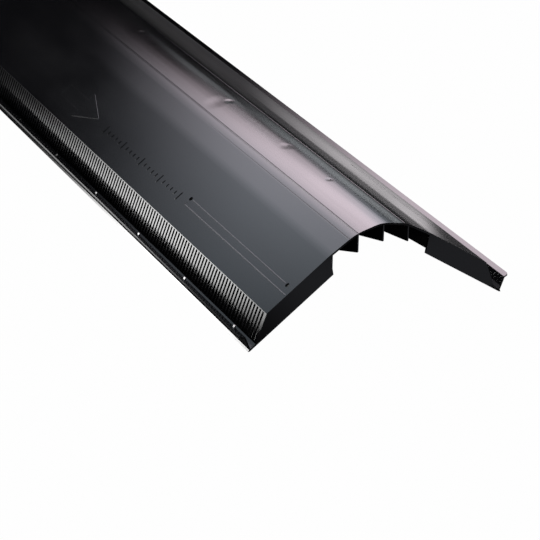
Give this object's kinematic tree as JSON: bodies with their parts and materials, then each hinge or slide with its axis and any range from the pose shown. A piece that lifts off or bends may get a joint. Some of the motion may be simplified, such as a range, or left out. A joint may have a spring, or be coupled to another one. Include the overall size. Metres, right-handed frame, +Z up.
{
  "type": "ridge vent",
  "caption": "Long peaked strip vent for a roof ridge: a bent plastic top sheet with closed ends, a slatted grille down both sides and a wind baffle outside each grille.",
  "frame": {"origin": "on the floor, midway along the vent and midway between its two feet", "axes": "+X along the ridge towards the end that is nearest in the picture, +Y across the roof, +Z up"},
  "size_m": [1.2192, 0.2552, 0.0895],
  "materials": {
    "black_plastic": "moulded, satin black"
  },
  "bodies": {
    "root": {"ridge_vent": "black_plastic"}
  },
  "joints": []
}
